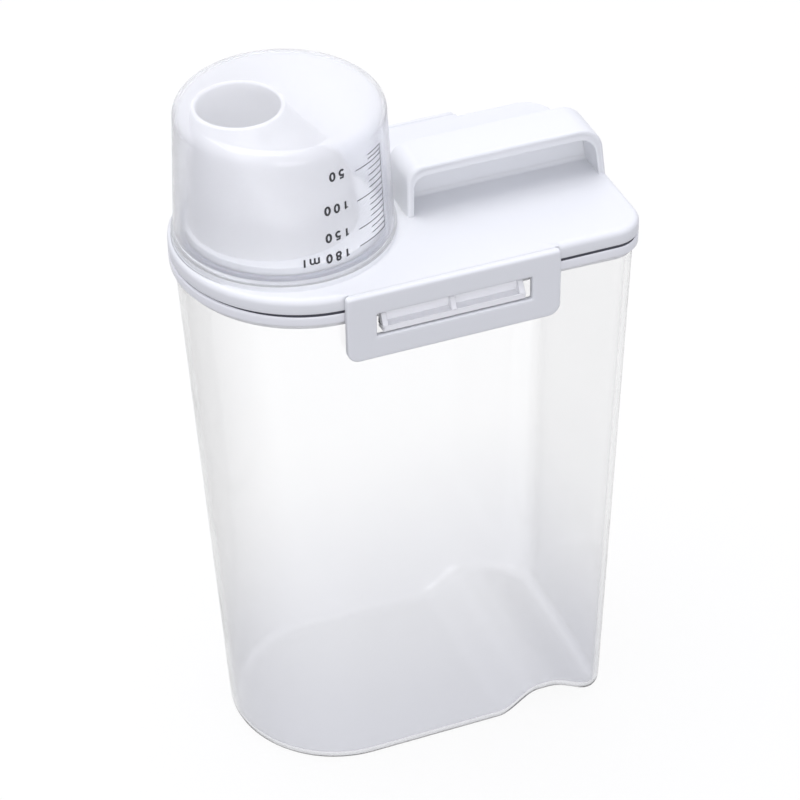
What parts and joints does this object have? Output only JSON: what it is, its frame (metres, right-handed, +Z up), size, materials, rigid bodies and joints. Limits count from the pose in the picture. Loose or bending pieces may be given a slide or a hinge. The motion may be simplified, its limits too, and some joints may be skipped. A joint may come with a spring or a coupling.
{
  "type": "airtight storage jar",
  "caption": "Tall D-shaped clear storage jar with a latched lid, a pouring spout, a grip and a measuring cup that covers the spout.",
  "frame": {"origin": "middle of the whole object's box, on the table that it stands on", "axes": "+X from the round spout end to the square grip end, +Z up, +Y across, away from the side of the lid that the grip opens to"},
  "size_m": [0.16, 0.0998, 0.275],
  "materials": {
    "container_plastic": "clear moulded polypropylene, slightly milky",
    "lid_plastic": "white satin moulded polypropylene",
    "gasket_silicone": "pale silicone",
    "seal_silicone": "grey silicone",
    "cup_plastic": "clear moulded plastic with a printed black scale"
  },
  "bodies": {
    "jar": {"container": "container_plastic", "lid": "lid_plastic", "lid_gasket": "gasket_silicone", "spout_seal": "seal_silicone"},
    "front_latch": {"front_latch": "lid_plastic"},
    "rear_latch": {"rear_latch": "lid_plastic"},
    "cup": {"measuring_cup": "cup_plastic"}
  },
  "joints": [
    {"name": "front_latch_hinge", "type": "hinge", "parent": "jar", "child": "front_latch", "pos_m": [0.005, -0.0472, 0.2219], "axis": [-1, 0, 0], "range_deg": [0, 110]},
    {"name": "rear_latch_hinge", "type": "hinge", "parent": "jar", "child": "rear_latch", "pos_m": [0.005, 0.0472, 0.2219], "axis": [1, 0, 0], "range_deg": [0, 110]},
    {"name": "cup_lift", "type": "slide", "parent": "jar", "child": "cup", "axis": [0, 0, 1], "range_m": [0, 0.055]}
  ]
}
